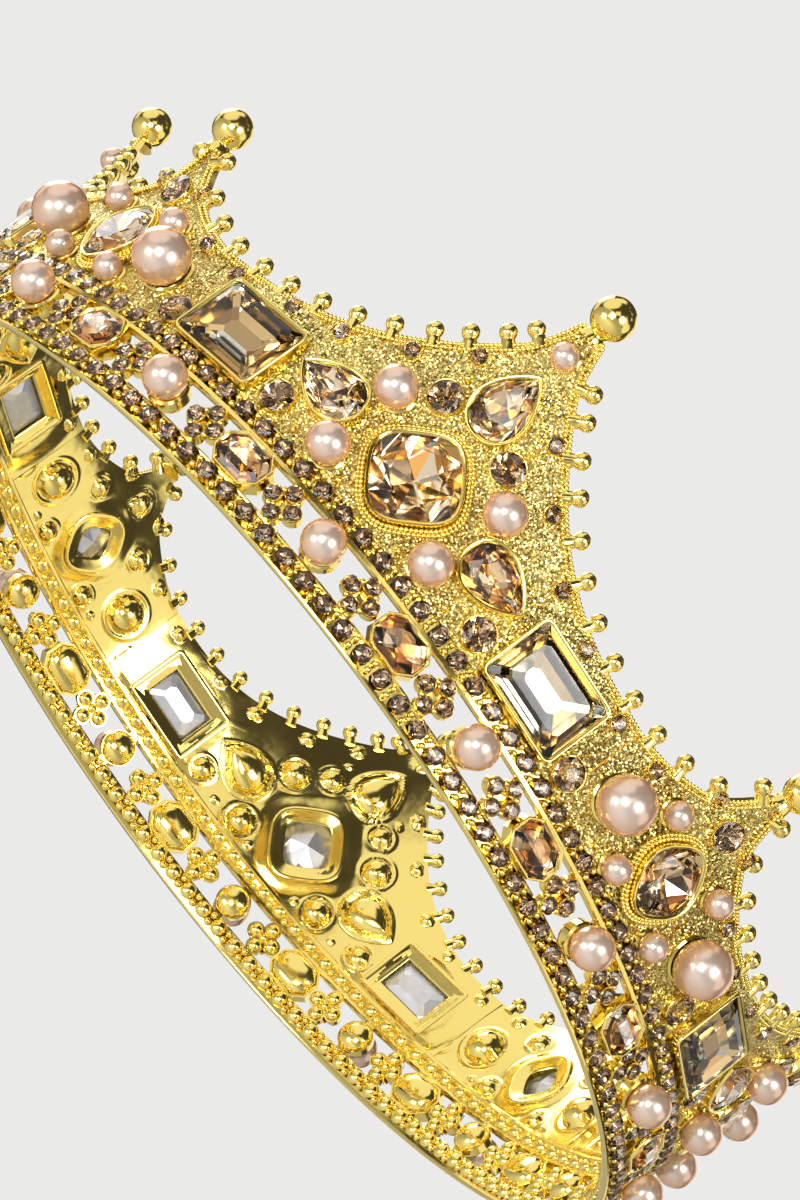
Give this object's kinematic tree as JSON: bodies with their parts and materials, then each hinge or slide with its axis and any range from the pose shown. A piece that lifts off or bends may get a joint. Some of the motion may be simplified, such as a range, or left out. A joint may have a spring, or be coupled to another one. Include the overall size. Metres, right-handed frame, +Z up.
{
  "type": "ornamental crown",
  "caption": "Round jewelled crown: openwork pearl and crystal band under tall and low scalloped points with ball finials.",
  "frame": {"origin": "centre of the crown in the plane of the bottom edge of its band", "axes": "+Z up through the crown's points; -Y through one tall point, and the other tall points on +X, +Y and -X"},
  "size_m": [0.1754, 0.1754, 0.0552],
  "materials": {
    "gold": "bright yellow gold plating, fine granular texture on the plate fronts, polished rims, rails and insides",
    "champagne_crystal": "faceted foil-backed crystal, champagne to light peach",
    "pearl": "imitation pearl, pinkish cream with a soft lustre"
  },
  "bodies": {
    "root": {"gallery_band_1": "gold", "gallery_band_2": "gold", "gallery_band_3": "gold", "gallery_band_4": "gold", "major_plate_1": "gold", "major_plate_2": "gold", "major_plate_3": "gold", "major_plate_4": "gold", "minor_plate_1": "gold", "minor_plate_2": "gold", "minor_plate_3": "gold", "minor_plate_4": "gold", "cushion_stone_1": "champagne_crystal", "cushion_stone_2": "champagne_crystal", "cushion_stone_3": "champagne_crystal", "cushion_stone_4": "champagne_crystal", "top_pear_stone_1": "champagne_crystal", "top_pear_stone_2": "champagne_crystal", "top_pear_stone_3": "champagne_crystal", "top_pear_stone_4": "champagne_crystal", "left_pear_stone_1": "champagne_crystal", "left_pear_stone_2": "champagne_crystal", "left_pear_stone_3": "champagne_crystal", "left_pear_stone_4": "champagne_crystal", "right_pear_stone_1": "champagne_crystal", "right_pear_stone_2": "champagne_crystal", "right_pear_stone_3": "champagne_crystal", "right_pear_stone_4": "champagne_crystal", "left_step_stone_1": "champagne_crystal", "left_step_stone_2": "champagne_crystal", "left_step_stone_3": "champagne_crystal", "left_step_stone_4": "champagne_crystal", "right_step_stone_1": "champagne_crystal", "right_step_stone_2": "champagne_crystal", "right_step_stone_3": "champagne_crystal", "right_step_stone_4": "champagne_crystal", "small_cushion_stone_1": "champagne_crystal", "small_cushion_stone_2": "champagne_crystal", "small_cushion_stone_3": "champagne_crystal", "small_cushion_stone_4": "champagne_crystal", "left_pearl_1": "pearl", "left_pearl_2": "pearl", "left_pearl_3": "pearl", "left_pearl_4": "pearl", "right_pearl_1": "pearl", "right_pearl_2": "pearl", "right_pearl_3": "pearl", "right_pearl_4": "pearl", "tip_pearl_1": "pearl", "tip_pearl_2": "pearl", "tip_pearl_3": "pearl", "tip_pearl_4": "pearl", "major_finial_1": "gold", "major_finial_2": "gold", "major_finial_3": "gold", "major_finial_4": "gold", "minor_finial_1": "gold", "minor_finial_2": "gold", "minor_finial_3": "gold", "minor_finial_4": "gold"}
  },
  "joints": []
}
